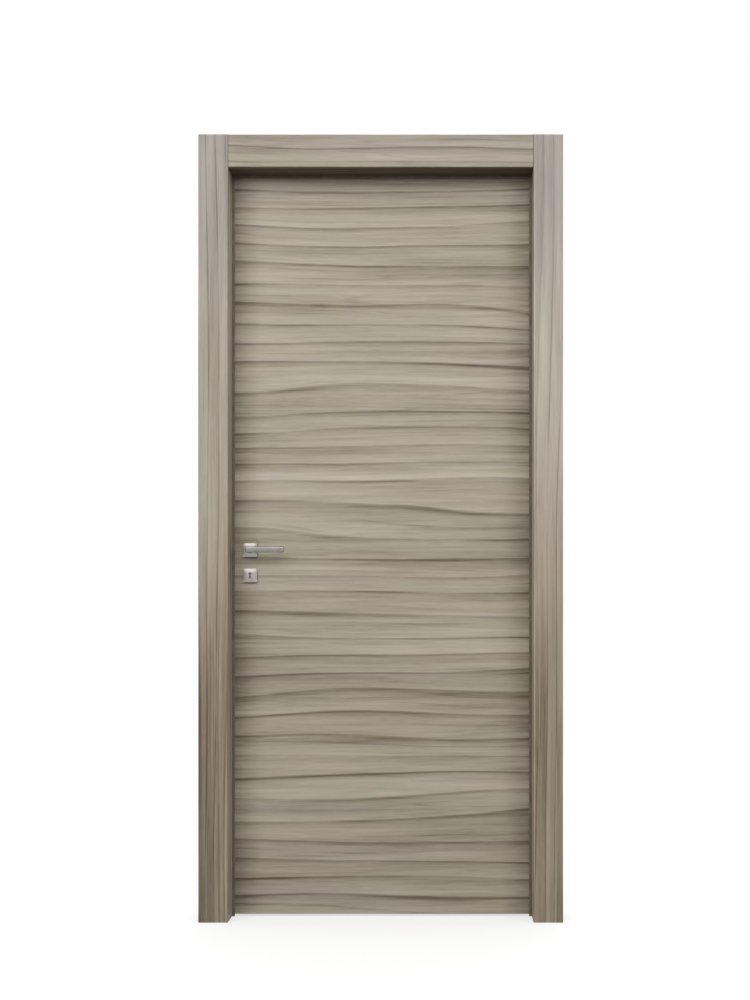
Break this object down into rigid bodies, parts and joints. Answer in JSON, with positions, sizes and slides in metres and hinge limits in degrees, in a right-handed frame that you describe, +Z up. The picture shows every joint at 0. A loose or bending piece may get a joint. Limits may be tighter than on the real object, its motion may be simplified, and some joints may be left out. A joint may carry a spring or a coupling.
{
  "type": "flush hollow core door",
  "caption": "Flush hollow core door in a rebated, sealed frame with flat architraves on both faces; the leaf swings on butt hinges and the lever handles turn.",
  "frame": {"origin": "middle of the foot of the hinge-side jamb, on the floor", "axes": "+X from the doorway into the hinge jamb, +Y from the front towards the side the leaf swings to, +Z up"},
  "size_m": [1.014, 0.167, 2.19],
  "materials": {
    "leaf_laminate": "matt greige laminate with a fine horizontal grain",
    "leaf_edge": "matt greige edge banding",
    "jamb_laminate": "matt greige laminate with the grain along the jamb",
    "architrave_laminate": "matt greige laminate with the grain along the board",
    "seal_rubber": "dark brown extruded seal",
    "softwood": "planed softwood",
    "core_board": "brown paper board cells",
    "hardware_steel": "satin steel",
    "bolt_steel": "plain zinc-plated steel",
    "handle_metal": "satin nickel"
  },
  "bodies": {
    "frame": {"hinge_jamb": "jamb_laminate", "lock_jamb": "jamb_laminate", "head_jamb": "jamb_laminate", "hinge_jamb_stop": "jamb_laminate", "lock_jamb_stop": "jamb_laminate", "head_jamb_stop": "jamb_laminate", "front_architrave_lock_side": "architrave_laminate", "front_architrave_hinge_side": "architrave_laminate", "front_architrave_head": "architrave_laminate", "rear_architrave_lock_side": "architrave_laminate", "rear_architrave_hinge_side": "architrave_laminate", "rear_architrave_head": "architrave_laminate", "lock_side_seal": "seal_rubber", "hinge_side_seal": "seal_rubber", "head_seal": "seal_rubber", "strike_plate": "hardware_steel", "upper_hinge_jamb_plate": "hardware_steel", "middle_hinge_jamb_plate": "hardware_steel", "lower_hinge_jamb_plate": "hardware_steel", "upper_hinge_pin": "hardware_steel", "middle_hinge_pin": "hardware_steel", "lower_hinge_pin": "hardware_steel"},
    "leaf": {"leaf_front_skin": "leaf_laminate", "leaf_rear_skin": "leaf_laminate", "lock_edge_band": "leaf_edge", "hinge_edge_band": "leaf_edge", "lock_stile": "softwood", "hinge_stile": "softwood", "top_rail": "softwood", "bottom_rail": "softwood", "lock_block": "softwood", "honeycomb_core": "core_board", "lock_faceplate": "hardware_steel", "lock_case": "hardware_steel", "latch_bolt": "bolt_steel", "dead_bolt": "bolt_steel", "upper_hinge_leaf_plate": "hardware_steel", "middle_hinge_leaf_plate": "hardware_steel", "lower_hinge_leaf_plate": "hardware_steel", "front_rosette": "handle_metal", "rear_rosette": "handle_metal", "front_key_plate": "handle_metal", "rear_key_plate": "handle_metal"},
    "levers": {"front_lever": "handle_metal", "rear_lever": "handle_metal", "spindle": "bolt_steel"}
  },
  "joints": [
    {"name": "door_swing", "type": "hinge", "parent": "frame", "child": "leaf", "pos_m": [-0.0085, 0.0605, 1.05], "axis": [0, 0, -1], "range_deg": [0, 170]},
    {"name": "lever_turn", "type": "hinge", "parent": "leaf", "child": "levers", "pos_m": [-0.818, 0.0305, 1.038], "axis": [0, 1, 0], "range_deg": [0, 40], "stiffness_Nm_per_rad": 1.5, "springref_deg": -25}
  ]
}
